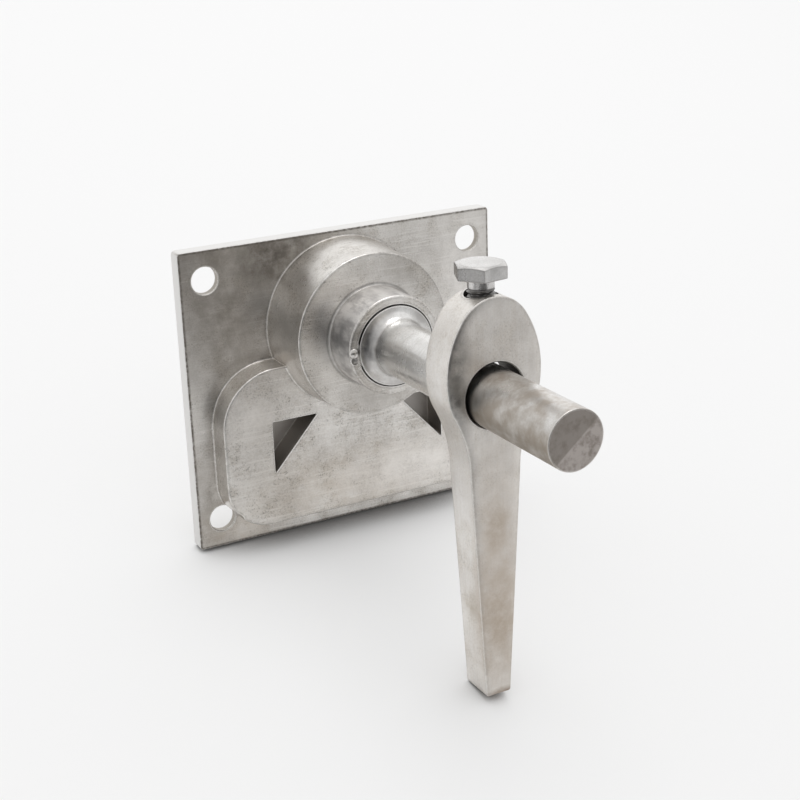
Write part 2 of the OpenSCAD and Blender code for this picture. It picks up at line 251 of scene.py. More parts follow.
# Triangular core pockets in the pad, one the mirror of the other.
pocket_out = 22.6
pocket_w = 11.6
pocket_h = 12.8
pocket_top = -5.6
pocket_floor = 0.2
pocket_corner = 0.2
pocket_edge = 0.12
pocket_draft = 0.3


def pocket_outline(side, inset):
    """Right-angled triangle with small round corners, as (x, z) points."""
    slant = atan2(pocket_h, pocket_w)
    edge = pocket_corner + inset
    reach = edge / (sin(slant) / (1 + cos(slant)))
    point = edge / (cos(slant) / (1 + sin(slant)))
    lean = 270 - degrees(slant)
    corners = [(pocket_out - edge, pocket_top - edge, 0, 90),
               (pocket_out - pocket_w + reach, pocket_top - edge, 90, lean),
               (pocket_out - edge, pocket_top - pocket_h + point, lean, 360)]
    points = []
    for x, z, start, end in corners:
        points += arc((x, z), pocket_corner, start, end, 5)
    return [(side * x, z) for x, z in points]


for side in (-1, 1):
    pocket = stack("pocket", lambda inset: pocket_outline(side, inset), [
        (-pocket_edge, -pad_t - overrun), (-pocket_edge, -pad_t - 0.02), (0, -pad_t + pocket_edge),
        (pocket_draft, pocket_floor)])
    combine(casting, pocket, "DIFFERENCE")

# Deck side: a shallow recess under the rotor with a finger scoop in its middle.
recess_half = 28.0
recess_land = 3.0
recess_h = 22.0
recess_top = spindle_z - rotor_bore - recess_land
recess_low = recess_top - recess_h
recess_deep = 2.0
recess_corner = 7.0
recess_edge = 0.4
scoop_half = 8.0
scoop_deep = 6.5
scoop_foot = 3.0
recess = stack("recess", lambda inset: rounded_outline(
    recess_half, recess_low, recess_top, recess_corner, recess_corner, inset), [
    (-recess_edge, plate_t + 1), (-recess_edge, plate_t), (0, plate_t - recess_edge),
    (0.2, plate_t - recess_deep + 0.6), (0.8, plate_t - recess_deep)])
combine(casting, recess, "DIFFERENCE")
scoop = stack("scoop", lambda inset: rounded_outline(
    scoop_half, recess_low + scoop_foot, spindle_z, scoop_half - 0.5, 1, inset), [
    (0, plate_t + 1), (0, plate_t - recess_deep), (0.3, plate_t - scoop_deep + 2.5),
    (0.9, plate_t - scoop_deep + 0.9), (2.4, plate_t - scoop_deep)])
combine(casting, scoop, "DIFFERENCE")

# Punch mark below the stake pin: a dent, and metal driven across the gap round the journal.
stake_x = -(collar_r + journal_bore) / 2
dent_r = 0.95
dent_turn = radians(190)
dent_at = (stake_x * -cos(dent_turn), -collar_end - 0.25, spindle_z - stake_x * sin(dent_turn))
dent = turned("dent", [(0, dent_at[1] - dent_r)] + [
    (dent_r * sin(pi * i / 12), dent_at[1] - dent_r * cos(pi * i / 12)) for i in range(1, 12)] + [
    (0, dent_at[1] + dent_r)], (dent_at[0], dent_at[2]), 24)
combine(casting, dent, "DIFFERENCE")
smear_start, smear_sweep = 169, 34
smear_in = journal_bore - 0.19
smear_out = journal_bore + 0.4
smear_low = -collar_end + 1.2
smear_rings = []
for i in range(13):
    turn = radians(smear_start + smear_sweep * i / 12)
    sunk = -collar_end + 0.5 * abs(i / 6 - 1) ** 6 - 0.06
    smear_rings.append([(r * cos(turn), y, spindle_z + r * sin(turn)) for r, y in (
        (smear_in, sunk + 0.05), (smear_out, sunk), (smear_out, smear_low), (smear_in, smear_low))])
combine(casting, loft("smear", smear_rings), "UNION")
burr_r = 0.42
burr_turn = radians(201)
burr_out = 9.8
burr_at = (burr_out * cos(burr_turn), spindle_z + burr_out * sin(burr_turn))
burr = turned("burr", [(0, -collar_end - burr_r)] + [
    (burr_r * sin(pi * i / 10), -collar_end - burr_r * cos(pi * i / 10)) for i in range(1, 10)] + [
    (0, -collar_end + burr_r)], burr_at, 20)
combine(casting, burr, "UNION")


def add_node(tree, kind, links=None, **values):
    """A shader or geometry node with its inputs set by name and linked from other sockets."""
    node = tree.nodes.new(kind)
    for name, value in values.items():
        setattr(node, name, value)
    for name, value in (links or {}).items():
        socket = node.inputs[name]
        if isinstance(value, bpy.types.NodeSocket):
            tree.links.new(value, socket)
        else:
            socket.default_value = value
    return node


def speckle(tree, place, scale, detail=4.0, rough=0.55, stretch=(1, 1, 1)):
    """Noise on the piece's own coordinates, scale in cells per metre."""
    spread = add_node(tree, "ShaderNodeMapping", {"Vector": place, "Scale": stretch})
    noise = add_node(tree, "ShaderNodeTexNoise", {
        "Vector": spread.outputs["Vector"], "Scale": scale, "Detail": detail, "Roughness": rough})
    return noise.outputs["Fac"]


def calc(tree, operation, first, second=0.0):
    """A maths node on sockets or numbers."""
    node = add_node(tree, "ShaderNodeMath", operation=operation)
    for index, value in enumerate((first, second)):
        if isinstance(value, bpy.types.NodeSocket):
            tree.links.new(value, node.inputs[index])
        else:
            node.inputs[index].default_value = value
    return node.outputs[0]


def ramp(tree, value, low, high, start=0.0, end=1.0):
    """Straight map of a value from one span to another, held at its ends."""
    mapped = add_node(tree, "ShaderNodeMapRange", {
        "Value": value, "From Min": low, "From Max": high, "To Min": start, "To Max": end})
    return mapped.outputs["Result"]


def blend_colour(tree, factor, first, second, how="MIX"):
    """Two colours mixed by a factor."""
    mixed = add_node(tree, "ShaderNodeMix", data_type="RGBA", blend_type=how)
    for index, value in ((0, factor), (6, first), (7, second)):
        socket = mixed.inputs[index]
        if isinstance(value, bpy.types.NodeSocket):
            tree.links.new(value, socket)
        else:
            socket.default_value = value
    return mixed.outputs[2]


def flatness(tree, reach):
    """1 on flat ground and less where an edge or corner lies within reach."""
    rounded = add_node(tree, "ShaderNodeBevel", {"Radius": reach}, samples=4).outputs["Normal"]
    true = add_node(tree, "ShaderNodeNewGeometry").outputs["Normal"]
    alike = add_node(tree, "ShaderNodeVectorMath", {0: rounded, 1: true}, operation="DOT_PRODUCT")
    return alike.outputs["Value"]


def steel(name, dark, pale, stain, stain_share, rough, brushed, pits, worn_and_lit=0.5, scratched=0.2,
          grime_and_shade=0.5, edge=(0.88, 0.865, 0.84, 1)):
    """Dull stainless steel: cloudy grey, stains, brush marks, scratches, pits, a dark band beside edges and
    in corners (grime and painted shade), and an edge colour on edges and coves, pale for rubbed wear and
    painted highlight, dark on the bolt's steel.
    """
    material = bpy.data.materials.new(name)
    material.use_nodes = True
    tree = material.node_tree
    shader = tree.nodes["Principled BSDF"]
    place = add_node(tree, "ShaderNodeTexCoord").outputs["Object"]
    clouds = speckle(tree, place, 60, 4, 0.6)
    patches = speckle(tree, place, 170, 6, 0.65)
    fine = speckle(tree, place, 2600, 3, 0.6)
    spots = speckle(tree, place, 2900, 2, 0.5)
    brush = speckle(tree, place, 1500, 3, 0.6, brushed)
    nicks = speckle(tree, place, 1900, 2, 0.5, brushed)
    tone = blend_colour(tree, ramp(tree, clouds, 0.34, 0.66), dark, pale)
    tone = blend_colour(tree, ramp(tree, patches, 0.5, 0.7, 0, stain_share), tone, stain)
    tone = blend_colour(tree, ramp(tree, brush, 0.35, 0.65, 0.16, 0), tone, stain)
    tone = blend_colour(tree, 0.4, tone, ramp(tree, fine, 0.3, 0.7, 0.25, 0.75), "OVERLAY")
    tone = blend_colour(tree, ramp(tree, nicks, 0.58, 0.66, 0, scratched), tone, pale)
    pitted = calc(tree, "MULTIPLY", ramp(tree, spots, 0.56, 0.66, 0, pits), ramp(tree, patches, 0.42, 0.6))
    tone = blend_colour(tree, pitted, tone, (0.13, 0.115, 0.10, 1))
    # Dark band beside edges and in hollow corners: grime and painted shade.
    beside = ramp(tree, flatness(tree, 0.0011), 0.996, 0.96, 0, grime_and_shade)
    ragged = ramp(tree, speckle(tree, place, 800, 4, 0.65), 0.38, 0.58, 0.2, 1.0)
    tone = blend_colour(tree, calc(tree, "MULTIPLY", beside, ragged), tone, (0.15, 0.135, 0.12, 1))
    # Edges and coves take the edge colour: rubbed wear and painted highlight; the bolt's steel has a dark
    # edge colour.
    tone = blend_colour(tree, ramp(tree, flatness(tree, 0.0005), 0.985, 0.9, 0, worn_and_lit), tone, edge)
    tone.node.name = "edge_wear_and_light"
    tree.links.new(tone, shader.inputs["Base Color"])
    tree.links.new(ramp(tree, patches, 0.3, 0.7, rough[0], rough[1]), shader.inputs["Roughness"])
    shader.inputs["Metallic"].default_value = 1.0
    bump = add_node(tree, "ShaderNodeBump", {"Height": fine, "Distance": 0.000012, "Strength": 0.6})
    lines = add_node(tree, "ShaderNodeBump", {
        "Height": brush, "Distance": 0.000012, "Strength": 0.5, "Normal": bump.outputs["Normal"]})
    holes = add_node(tree, "ShaderNodeBump", {
        "Height": pitted, "Distance": 0.00004, "Strength": 0.6, "Normal": lines.outputs["Normal"]},
        invert=True)
    tree.links.new(holes.outputs["Normal"], shader.inputs["Normal"])
    return material


def overlay(material, mask, colour, rough, over_edges=False):
    """Lays another colour on a steel where mask(tree, place) is 1, below its edge colour of rubbed wear and
    painted highlight, or over it.
    """
    tree = material.node_tree
    shader = tree.nodes["Principled BSDF"]
    place = add_node(tree, "ShaderNodeTexCoord").outputs["Object"]
    share = mask(tree, place)
    target = shader.inputs["Base Color"] if over_edges else tree.nodes["edge_wear_and_light"].inputs[6]
    tree.links.new(blend_colour(tree, share, target.links[0].from_socket, colour), target)
    gloss = add_node(tree, "ShaderNodeMix", {"Factor": share, "B": rough})
    tree.links.new(shader.inputs["Roughness"].links[0].from_socket, gloss.inputs["A"])
    tree.links.new(gloss.outputs["Result"], shader.inputs["Roughness"])


def axes(tree, place):
    """The three coordinates of a place."""
    return add_node(tree, "ShaderNodeSeparateXYZ", {"Vector": place}).outputs


def both(tree, first, *others):
    """1 where every mask is 1."""
    for other in others:
        first = calc(tree, "MULTIPLY", first, other)
    return first


def from_axis(tree, place, x, z):
    """Distance from a line along Y through (x, z) in millimetres."""
    flat = add_node(tree, "ShaderNodeVectorMath", {0: place, 1: (1, 0, 1)}, operation="MULTIPLY")
    away = add_node(tree, "ShaderNodeVectorMath", {
        0: flat.outputs["Vector"], 1: (x * MM, 0, z * MM)}, operation="DISTANCE")
    return away.outputs["Value"]


def stain_and_light_patches(spots, share=0.8):
    """Soft ragged patches, from (centre, reach along each axis) in millimetres; used for stains and for
    painted light and shade.
    """
    def mask(tree, place):
        found = 0.0
        for centre, reach in spots:
            away = add_node(tree, "ShaderNodeVectorMath", {
                0: place, 1: Vector(centre) * MM}, operation="SUBTRACT")
            scaled = add_node(tree, "ShaderNodeVectorMath", {
                0: away.outputs["Vector"], 1: [1 / (r * MM) for r in reach]}, operation="MULTIPLY")
            length = add_node(tree, "ShaderNodeVectorMath", {0: scaled.outputs["Vector"]}, operation="LENGTH")
            found = calc(tree, "MAXIMUM", ramp(tree, length.outputs["Value"], 1.0, 0.15), found)
        ragged = ramp(tree, speckle(tree, place, 260, 6, 0.7), 0.34, 0.62, 0.35, 1.0)
        return both(tree, found, ragged, share)
    return mask


def rear_film(tree, place):
    """Brown film on the plate's upper left and lower left corner, only behind."""
    film = stain_and_light_patches([((-18, 0, 33), (24, 5, 16)), ((-31, 0, 20), (16, 5, 24)), ((-33, 0, 36), (16, 5, 14)),
                    ((-16, 0, 30), (12, 5, 12)), ((-37, 0, -27), (7, 5, 16))], 0.9)(tree, place)
    y = axes(tree, place)["Y"]
    return both(tree, film, ramp(tree, y, 0.9 * MM, 0.3 * MM), ramp(tree, y, -0.9 * MM, -0.4 * MM))


def pocket_insides(tree, place):
    """Darker colour inside the two pockets."""
    x, y, z = axes(tree, place)
    return both(tree, ramp(tree, y, (-pad_t + 0.1) * MM, (-pad_t + 1.5) * MM), ramp(tree, y, 1.2 * MM, MM),
                ramp(tree, calc(tree, "ABSOLUTE", x), (pocket_out + 0.6) * MM, (pocket_out + 0.4) * MM),
                ramp(tree, z, (pocket_top + 0.5) * MM, (pocket_top + 0.3) * MM),
                ramp(tree, z, (pocket_top - pocket_h - 0.6) * MM, (pocket_top - pocket_h - 0.4) * MM))


def collar_cove_shade(tree, place):
    """Painted shade in the hollow corner at the collar's foot."""
    low = -boss_h - collar_cove
    wide = collar_r + collar_cove
    foot = ramp(tree, axes(tree, place)["Y"], low * MM, (low + 0.9) * MM)
    near = ramp(tree, from_axis(tree, place, 0, spindle_z), (wide + 0.2) * MM, (wide - 0.2) * MM)
    return both(tree, foot, near, ramp(tree, speckle(tree, place, 300), 0.35, 0.65, 0.6, 1.0))


def collar_wall(mottled):
    """The collar's wall, all of it or its dark patches, which are drawn out along it."""
    def mask(tree, place):
        y = axes(tree, place)["Y"]
        out = from_axis(tree, place, 0, spindle_z)
        wall = both(tree, ramp(tree, out, (collar_r + 0.6) * MM, (collar_r + 0.2) * MM),
                    ramp(tree, y, (-collar_end + 0.3) * MM, (-collar_end + 0.8) * MM),
                    ramp(tree, y, -boss_h * MM, (-boss_h - 1) * MM))
        if not mottled:
            return wall
        drawn_out = speckle(tree, place, 380, 5, 0.65, (1, 0.4, 1))
        return both(tree, wall, ramp(tree, drawn_out, 0.44, 0.6, 0, 0.8))
    return mask


def pad_underside(tree, place):
    """Painted shade on the pad's lower wall, chosen by the way that the surface faces."""
    faces = axes(tree, add_node(tree, "ShaderNodeNewGeometry").outputs["Normal"])["Z"]
    y = axes(tree, place)["Y"]
    outside = ramp(tree, from_axis(tree, place, 0, spindle_z), (boss_r + 0.6) * MM, (boss_r + 1.0) * MM)
    return both(tree, ramp(tree, faces, -0.45, -0.75),
                ramp(tree, y, (-pad_t - 0.3) * MM, (-pad_t + 0.05) * MM),
                ramp(tree, y, -0.1 * MM, -0.4 * MM), outside)


def edge_grime(tree, place):
    """Thin dark line just inside the plate's rear edges."""
    parts = axes(tree, place)
    near = []
    for axis, half in (("X", plate_w / 2), ("Z", plate_h / 2)):
        out = calc(tree, "ABSOLUTE", parts[axis])
        near.append(both(tree, ramp(tree, out, (half - 0.75) * MM, (half - 0.45) * MM),
                         ramp(tree, out, (half - 0.05) * MM, (half - 0.2) * MM)))
    ragged = ramp(tree, speckle(tree, place, 1300, 5, 0.65), 0.36, 0.6, 0.25, 0.95)
    return both(tree, calc(tree, "MAXIMUM", *near), ramp(tree, parts["Y"], 0.3 * MM, 0.15 * MM), ragged)


def hole_walls(tree, place):
    """1 inside the four screw holes, which are left dull."""
    folded = add_node(tree, "ShaderNodeVectorMath", {0: place}, operation="ABSOLUTE").outputs["Vector"]
    return ramp(tree, from_axis(tree, folded, hole_x, hole_z), (hole_r + 0.3) * MM, (hole_r + 0.15) * MM)


def deck_face(tree, place):
    """The deck side is dressed even and carries less stain."""
    recess_floor = plate_t - recess_deep
    return ramp(tree, axes(tree, place)["Y"], (recess_floor - 0.3) * MM, recess_floor * MM, 0, 0.6)


def plate_sides(tree, place):
    """1 on the plate's ground side faces, by distance from its middle."""
    parts = axes(tree, place)
    sides = []
    for axis, half in (("X", plate_w / 2), ("Z", plate_h / 2)):
        out = calc(tree, "ABSOLUTE", parts[axis])
        sides.append(ramp(tree, out, (half - 0.3) * MM, (half - 0.1) * MM))
    return calc(tree, "MAXIMUM", *sides)


cast_steel = steel("cast_steel", (0.59, 0.565, 0.535, 1), (0.86, 0.838, 0.805, 1), (0.40, 0.352, 0.29, 1),
                   0.42, (0.25, 0.4), (0.04, 1, 1), 0.55, 1.0, 0.45, 0.7, (0.97, 0.955, 0.93, 1))
overlay(cast_steel, rear_film, (0.34, 0.31, 0.275, 1), 0.36)
overlay(cast_steel, stain_and_light_patches([((-18, 0, 33), (11, 3, 9)), ((-13, 0, 36), (9, 3, 7))], 1.0),
        (0.17, 0.155, 0.14, 1), 0.36)
overlay(cast_steel, stain_and_light_patches([((0, -6, -25), (42, 8, 13)), ((-30, 0, -33), (14, 8, 10))], 0.55),
        (0.60, 0.525, 0.44, 1), 0.38)
overlay(cast_steel, stain_and_light_patches([((0, -boss_h, spindle_z - 15), (12, 2, 6)),
                             ((9, -boss_h, spindle_z + 14), (8, 2, 6))], 0.6), (0.40, 0.375, 0.345, 1), 0.36)
overlay(cast_steel, deck_face, (0.78, 0.765, 0.745, 1), 0.3)
overlay(cast_steel, pocket_insides, (0.5, 0.475, 0.45, 1), 0.5)
# Pale patches on the plate's right, the pad's left and lower right, and the boss wall's left: painted
# highlight.
overlay(cast_steel, stain_and_light_patches([((33, 0, 22), (14, 6, 26)), ((-28, -6, -3), (9, 5, 10)),
                             ((16, -6, -24), (26, 5, 8)), ((-20, -8, 12), (5, 9, 15))], 0.8),
        (0.94, 0.91, 0.875, 1), 0.33)
overlay(cast_steel, collar_wall(False), (0.84, 0.82, 0.80, 1), 0.5)
overlay(cast_steel, collar_wall(True), (0.46, 0.445, 0.44, 1), 0.4)
# Dark patch on the collar's left side: painted shade.
overlay(cast_steel, stain_and_light_patches([((-12, -21, spindle_z + 2), (6, 8, 12))], 0.85), (0.30, 0.30, 0.305, 1), 0.36)
# Pale patch on the collar's top: painted highlight.
overlay(cast_steel, stain_and_light_patches([((1, -21, spindle_z + 11.5), (9, 7, 4.5))], 0.9), (0.97, 0.955, 0.94, 1), 0.4)
# Painted shade in the cove at the collar's foot.
overlay(cast_steel, collar_cove_shade, (0.24, 0.23, 0.22, 1), 0.42)
# Dark colour in the punch dent: painted shade.
overlay(cast_steel, stain_and_light_patches([((dent_at[0], -collar_end + 0.7, dent_at[2]), (1.1, 1.1, 1.1))], 1.0),
        (0.16, 0.155, 0.15, 1), 0.5)
overlay(cast_steel, plate_sides, (0.74, 0.73, 0.715, 1), 0.4)
overlay(cast_steel, hole_walls, (0.42, 0.39, 0.35, 1), 0.5)
overlay(cast_steel, edge_grime, (0.17, 0.15, 0.13, 1), 0.5, over_edges=True)
# Painted shade on the pad's downward-facing lower wall.
overlay(cast_steel, pad_underside, (0.22, 0.195, 0.165, 1), 0.5)
finish_piece(casting, cast_steel, "casting", "cast_steel", "body_casting")

# The stake pin: a short stainless dowel driven into the collar's rim.
# Its end is left proud as a small bead, beside the punch mark.
pin_r = 0.85
bead_r = 1.2
bead_h = 0.8
bead_base = -collar_end + 3.9
bead_low = -collar_end - 0.04
bead = turned("stake_pin_bead", [(0, bead_base), (pin_r, bead_base), (pin_r, bead_low)] + [
    (bead_r * cos(t), bead_low - bead_h * sin(t)) for t in [pi / 2 * i / 8 for i in range(8)]] + [
    (0, bead_low - bead_h)], (stake_x, spindle_z), 32)
turned_steel = steel("turned_steel", (0.62, 0.61, 0.59, 1), (0.78, 0.77, 0.75, 1), (0.4, 0.37, 0.33, 1),
                     0.2, (0.16, 0.28), (1, 1, 0.05), 0.2)
finish_piece(bead, turned_steel, "casting", "turned_steel", "stake_pin")

# The spindle: rotor, journal and tail turned from one bar-like casting.
# The rotor is dished for the pull ring; the tail's end is sawn in two passes.
rotor_front = 3.8
rotor_back = -8.5
rotor_r = 16.5
journal_r = 9.4
journal_end = -26.6
tail_r = 6.35
tail_cove = 2.6
tail_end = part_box("spindle")[0].y / MM
dish_r = 14.2
dish_floor = plate_t - scoop_deep
dish_edge = 0.3
seal = 1.6
seal_gap = 1.08
snap_half = 0.75
rotor_edge = 0.5
relief = 0.13
rotor_seal_at = sum(v.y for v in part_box("rotor_seal")) / 2 / MM
journal_seal_at = sum(v.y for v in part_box("journal_seal")) / 2 / MM
snap_at = sum(v.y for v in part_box("snap_ring")) / 2 / MM
spindle_walls = [(0, rotor_front), (rotor_r - rotor_edge, rotor_front), (rotor_r - 0.15, rotor_front - 0.15),
                 (rotor_r, rotor_front - rotor_edge), (rotor_r, rotor_seal_at + seal_gap),
                 (rotor_r - seal, rotor_seal_at + seal_gap), (rotor_r - seal, rotor_seal_at - seal_gap),
                 (rotor_r, rotor_seal_at - seal_gap), (rotor_r, rotor_back), (journal_r, rotor_back),
                 (journal_r, journal_seal_at + seal_gap), (journal_r - seal, journal_seal_at + seal_gap),
                 (journal_r - seal, journal_seal_at - seal_gap), (journal_r, journal_seal_at - seal_gap),
                 (journal_r, snap_at + snap_half), (journal_r - snap_half, snap_at + snap_half),
                 (journal_r - snap_half, snap_at - snap_half), (journal_r, snap_at - snap_half),
                 (journal_r, journal_end + rim_deep), (journal_r - relief, journal_end + rim_deep - 0.1),
                 (journal_r - relief, journal_end + 0.08), (journal_r - relief - 0.08, journal_end)]
spindle_walls += cove_steps(tail_r, journal_end, tail_cove, 10)
spindle_walls += edge_steps(tail_r, tail_end, 0.25, 3) + [(0, tail_end)]
spindle = turned("spindle_turned", spindle_walls, (0, spindle_z), 160)
dish = turned("dish", [
    (0, plate_t + 1), (dish_r + dish_edge, plate_t + 1), (dish_r + dish_edge, rotor_front),
    (dish_r, rotor_front - dish_edge), (dish_r, dish_floor + 1.2), (dish_r - 0.35, dish_floor + 0.35),
    (dish_r - 1.2, dish_floor), (0, dish_floor)], (0, spindle_z), 128)
combine(spindle, dish, "DIFFERENCE")
notch = stack("notch", lambda inset: rounded_outline(
    scoop_half, spindle_z - 2 * rotor_r, spindle_z, 0.5, 0.5, inset), [
    (0, plate_t + 1), (0, dish_floor + 0.9), (0.9, dish_floor)])
combine(spindle, notch, "DIFFERENCE")
pin_z = sum(v.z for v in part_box("ring_pin")) / 2 / MM
pin_y = sum(v.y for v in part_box("ring_pin")) / 2 / MM


def crosswise(name, radius, half, bevel=0.0, segments=40):
    """A round bar along X on the ring pin's axis."""
    rings = [(-half, radius - bevel), (-half + bevel, radius), (half - bevel, radius), (half, radius - bevel)]
    turns = [2 * pi * i / segments for i in range(segments)]
    return loft(name, [[(x, pin_y + r * cos(t), pin_z + r * sin(t)) for t in turns] for x, r in rings])


pin_hole_r = 1.0
pin_hole_half = 18.0
combine(spindle, crosswise("pin_hole", pin_hole_r, pin_hole_half), "DIFFERENCE")

# Second saw pass on the tail's end: a shallow slope on its lower right half.
saw_turn = radians(40)
saw_slope = radians(3.2)
saw_low = Vector((cos(saw_turn), 0, sin(saw_turn)))
saw_out = Vector((sin(saw_turn), 0, -cos(saw_turn)))
saw_corner = Vector((0.1, tail_end, spindle_z - 0.3))
saw_reach = 14.0
saw_end = saw_corner + saw_out * saw_reach + Vector((0, saw_reach * sin(saw_slope), 0))
far = Vector((0, -6, 0))
saw_sweep = (saw_corner, saw_end, saw_end + far, saw_corner + far)
slope = loft("slope", [[tuple(p + saw_low * side * saw_reach) for p in saw_sweep] for side in (-1, 1)])
combine(spindle, slope, "DIFFERENCE")
spindle_steel = steel("spindle_steel", (0.74, 0.73, 0.715, 1), (0.9, 0.895, 0.88, 1), (0.56, 0.53, 0.48, 1),
                      0.25, (0.2, 0.32), (0.05, 1, 0.05), 0.2, 0.9)
film_start, film_full = -66, -72


def outer_tail(lower):
    """Brown mottling on the tail outside the lever; with lower set, a dark brown film on its lower left side,
    partly stain and partly painted shade.
    """
    def mask(tree, place):
        x, y, z = axes(tree, place)
        past_lever = ramp(tree, y, film_start * MM, film_full * MM)
        cloudy = speckle(tree, place, 190, 5, 0.62)
        if lower:
            left = calc(tree, "ADD", calc(tree, "MULTIPLY", x, 0.6), z)
            side = ramp(tree, left, (spindle_z + 1.5) * MM, (spindle_z - 5) * MM)
            return both(tree, past_lever, side, ramp(tree, cloudy, 0.3, 0.6, 0.6, 1.0))
        return both(tree, past_lever, ramp(tree, cloudy, 0.4, 0.6, 0.15, 0.8))
    return mask


def journal_cove_shade(tree, place):
    """Painted shade: a dull grey film in the hollow between journal and tail."""
    y = axes(tree, place)["Y"]
    cloudy = ramp(tree, speckle(tree, place, 350), 0.35, 0.6, 0.3, 0.9)
    return both(tree, ramp(tree, y, (journal_end - tail_cove) * MM, (journal_end - tail_cove + 1) * MM),
                ramp(tree, y, (journal_end + 1.5) * MM, (journal_end + 0.5) * MM), cloudy)


def sawn(second_pass):
    """The tail's sawn end, or only the half of the second pass."""
    def mask(tree, place):
        away = add_node(tree, "ShaderNodeVectorMath", {
            0: place, 1: saw_corner * MM}, operation="SUBTRACT").outputs["Vector"]
        past = add_node(tree, "ShaderNodeVectorMath", {
            0: away, 1: saw_out}, operation="DOT_PRODUCT").outputs["Value"]
        drop = calc(tree, "MULTIPLY", calc(tree, "MAXIMUM", past, 0.0), sin(saw_slope))
        depth = calc(tree, "SUBTRACT", axes(tree, away)["Y"], drop)
        face = ramp(tree, depth, 0.1 * MM, 0.05 * MM)
        if not second_pass:
            return face
        return calc(tree, "MULTIPLY", face, ramp(tree, past, -0.15 * MM, 0.15 * MM))
    return mask


def sawn_spots(tree, place):
    """Dark specks on the tail's sawn end."""
    specks = ramp(tree, speckle(tree, place, 420, 6, 0.7), 0.46, 0.62, 0, 0.75)
    return both(tree, sawn(False)(tree, place), specks)


overlay(spindle_steel, outer_tail(False), (0.42, 0.365, 0.31, 1), 0.4)
# Darker lower left side of the outer tail: brown film and painted shade.
overlay(spindle_steel, outer_tail(True), (0.30, 0.26, 0.215, 1), 0.42)
# Painted shade in the hollow between journal and tail.
overlay(spindle_steel, journal_cove_shade, (0.5, 0.485, 0.47, 1), 0.34)
# Dark patch left of the journal: painted shade.
overlay(spindle_steel, stain_and_light_patches([((-8, journal_end - 1, spindle_z + 2), (5, 6, 8))], 1.0),
        (0.13, 0.129, 0.132, 1), 0.3)
# Pale streak along the tail's top by the journal: painted highlight.
overlay(spindle_steel, stain_and_light_patches([((1, -32, spindle_z + 7.5), (6, 12, 4))], 1.0), (0.98, 0.975, 0.965, 1), 0.2)
overlay(spindle_steel, sawn(False), (0.33, 0.3, 0.275, 1), 0.5)
overlay(spindle_steel, sawn(True), (0.47, 0.43, 0.405, 1), 0.5)
overlay(spindle_steel, sawn_spots, (0.24, 0.21, 0.185, 1), 0.5)
finish_piece(spindle, spindle_steel, "spindle", "spindle_steel", "spindle")


# The hidden fittings: a sprung wire ring, an acetal washer and two rubber seal rings.
# They sit in grooves between the casting and the spindle; the steel cross pin is pressed in.
# All five keep their own solids.
def plain(name, colour, rough, grain, shine):
    """Moulded plastic or rubber with a fine grain."""
    material = bpy.data.materials.new(name)
    material.use_nodes = True
    tree = material.node_tree
    shader = tree.nodes["Principled BSDF"]
    place = add_node(tree, "ShaderNodeTexCoord").outputs["Object"]
    fine = speckle(tree, place, grain)
    shade = tuple(c * 0.8 for c in colour[:3]) + (1,)
    tree.links.new(blend_colour(tree, fine, shade, colour), shader.inputs["Base Color"])
    tree.links.new(ramp(tree, fine, 0.3, 0.7, rough - 0.06, rough + 0.06), shader.inputs["Roughness"])
    shader.inputs["Specular IOR Level"].default_value = shine
    return material


spring_wire = steel("spring_wire", (0.38, 0.38, 0.39, 1), (0.5, 0.5, 0.5, 1), (0.3, 0.28, 0.26, 1),
                    0.2, (0.25, 0.35), (1, 0.1, 1), 0.1)
hidden_finish = {
    "snap_ring": spring_wire,
    "thrust_washer": plain("washer_plastic", (0.9, 0.89, 0.84, 1), 0.45, 900, 0.5),
    "rotor_seal": plain("seal_rubber", (0.03, 0.03, 0.03, 1), 0.55, 1500, 0.4),
    "ring_pin": turned_steel,
}
hidden_finish["journal_seal"] = hidden_finish["rotor_seal"]
for name, material in hidden_finish.items():
    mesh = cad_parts[name].data
    mesh.materials.clear()
    mesh.materials.append(material)

# The pull ring: a stainless ring with a short barrel that turns on the cross pin.
# It lies in the rotor's dish and is polished where fingers hold it.
ring_bar = 1.9
ring_mid = 10.4
ring_z = pin_z - ring_mid
barrel_r = 2.3
barrel_half = 7.5
barrel_edge = 0.4
barrel_bore_r = 1.06
barrel_bore_half = 12.0
around, across = 96, 28
ring_rings = []
for i in range(around):
    turn = 2 * pi * i / around
    ring_rings.append([
        ((ring_mid + ring_bar * cos(t)) * cos(turn), pin_y + ring_bar * sin(t),
         ring_z + (ring_mid + ring_bar * cos(t)) * sin(turn))
        for t in [2 * pi * k / across for k in range(across)]])
ring_verts = [p for ring in ring_rings for p in ring]
ring_faces = []
for i in range(around):
    for k in range(across):
        a, b = i * across, ((i + 1) % around) * across
        ring_faces.append([a + k, a + (k + 1) % across, b + (k + 1) % across, b + k])
pull_ring = fresh("pull_ring_loop", ring_verts, ring_faces)
combine(pull_ring, crosswise("barrel", barrel_r, barrel_half, barrel_edge), "UNION")
combine(pull_ring, crosswise("barrel_bore", barrel_bore_r, barrel_bore_half), "DIFFERENCE")
ring_steel = steel("ring_steel", (0.6, 0.59, 0.57, 1), (0.74, 0.73, 0.71, 1), (0.42, 0.39, 0.34, 1),
                   0.2, (0.14, 0.26), (1, 0.1, 1), 0.2)
finish_piece(pull_ring, ring_steel, "ring", "ring_steel", "pull_ring")

